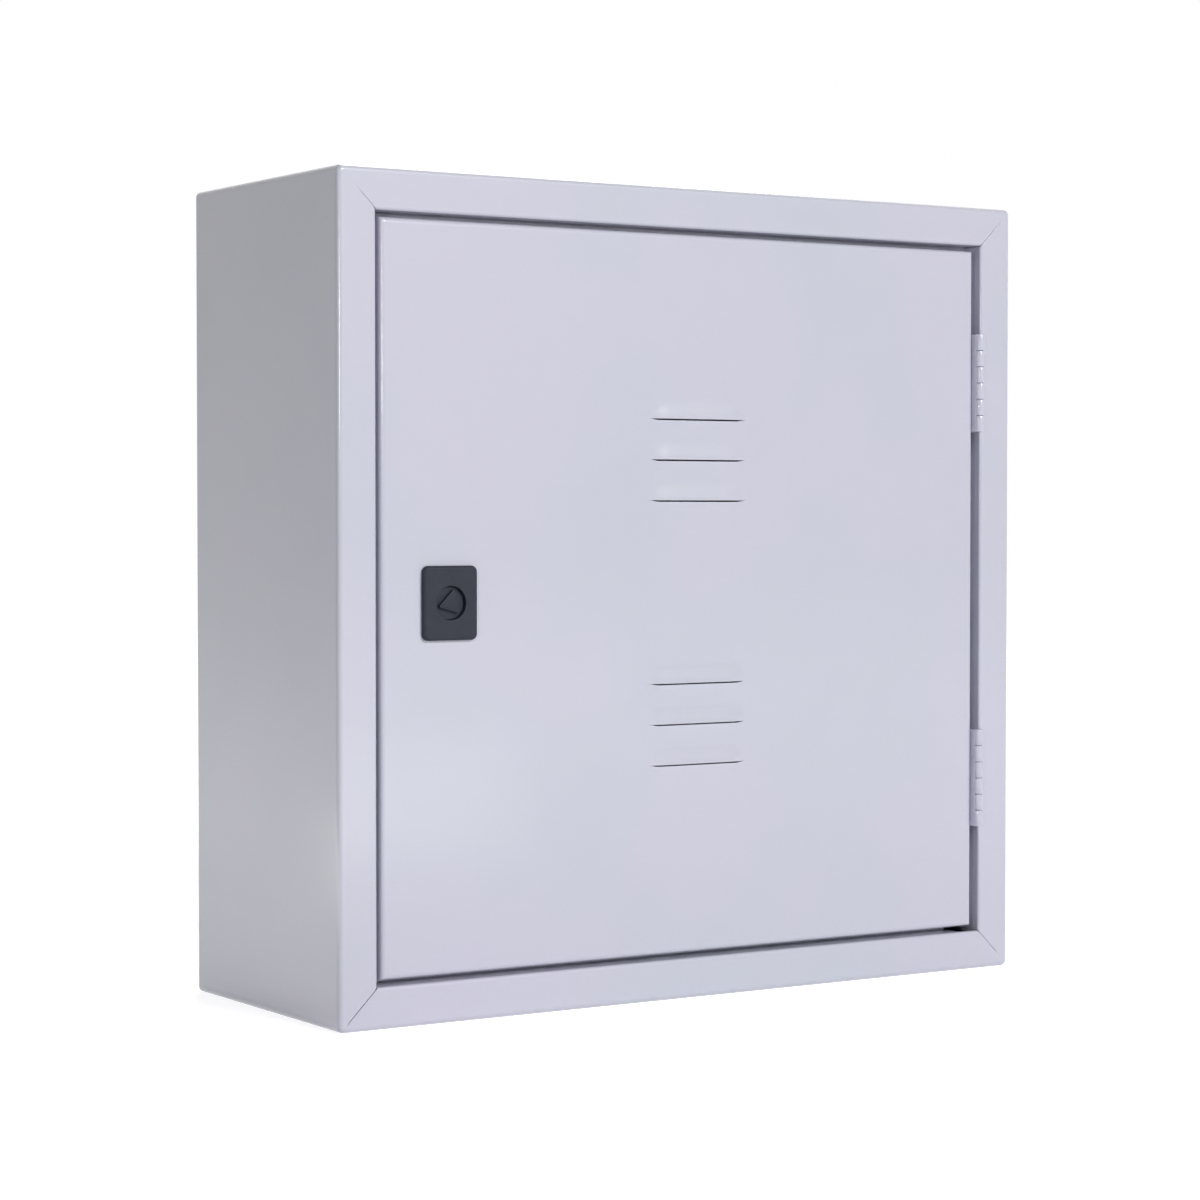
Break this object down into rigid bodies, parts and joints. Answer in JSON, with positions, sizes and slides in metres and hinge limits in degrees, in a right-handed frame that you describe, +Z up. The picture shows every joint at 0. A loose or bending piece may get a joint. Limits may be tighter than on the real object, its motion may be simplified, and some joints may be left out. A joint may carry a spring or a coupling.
{
  "type": "telephone junction box",
  "caption": "Square wall cabinet of folded sheet steel for telephone terminal blocks, with a mitred front border, a flush louvred door on two butt hinges and a triangular key lock.",
  "frame": {"origin": "centre of the rear face, on the wall plane, between the four wall holes", "axes": "+X to the right seen from the front, +Y into the wall, +Z up"},
  "size_m": [0.4, 0.1549, 0.4],
  "materials": {
    "shell_paint": "light grey powder coat, fine texture, satin",
    "door_paint": "light grey powder coat, fine texture, satin",
    "hinge_paint": "light grey powder coat over steel",
    "lock_plastic": "moulded, fine matt grain",
    "core_plastic": "moulded, smooth",
    "zinc_steel": "bright zinc plated",
    "frame_steel": "rolled stainless sheet",
    "plywood": "sanded birch plywood, clear sealer",
    "block_plastic": "moulded, satin",
    "contact_metal": "tin plated brass",
    "earth_brass": "turned brass"
  },
  "bodies": {
    "cabinet": {"back_panel": "shell_paint", "left_side": "shell_paint", "right_side": "shell_paint", "top_side": "shell_paint", "bottom_side": "shell_paint", "backboard": "plywood", "board_studs": "zinc_steel", "board_spacers": "zinc_steel", "board_nuts": "zinc_steel", "block_frame": "frame_steel", "frame_screws": "zinc_steel", "block_contacts": "contact_metal", "terminal_block_1": "block_plastic", "terminal_block_2": "block_plastic", "terminal_block_3": "block_plastic", "guide_ring_1": "zinc_steel", "guide_ring_2": "zinc_steel", "guide_ring_3": "zinc_steel", "guide_ring_4": "zinc_steel", "earth_stud": "earth_brass", "earth_clamp": "earth_brass", "earth_nut": "earth_brass", "upper_hinge_frame_leaf": "hinge_paint", "upper_hinge_pin": "hinge_paint", "lower_hinge_frame_leaf": "hinge_paint", "lower_hinge_pin": "hinge_paint"},
    "door": {"door_panel": "door_paint", "lock_housing": "lock_plastic", "upper_hinge_door_leaf": "hinge_paint", "lower_hinge_door_leaf": "hinge_paint"},
    "lock": {"lock_core": "core_plastic", "lock_cam": "zinc_steel", "lock_cam_washer": "zinc_steel", "lock_cam_screw": "zinc_steel"}
  },
  "joints": [
    {"name": "door_swing", "type": "hinge", "parent": "cabinet", "child": "door", "pos_m": [0.1775, -0.1524, 0], "axis": [0, 0, 1], "range_deg": [0, 180]},
    {"name": "lock_turn", "type": "hinge", "parent": "door", "child": "lock", "pos_m": [-0.142, -0.15, -0.002], "axis": [0, -1, 0], "range_deg": [0, 90]}
  ]
}
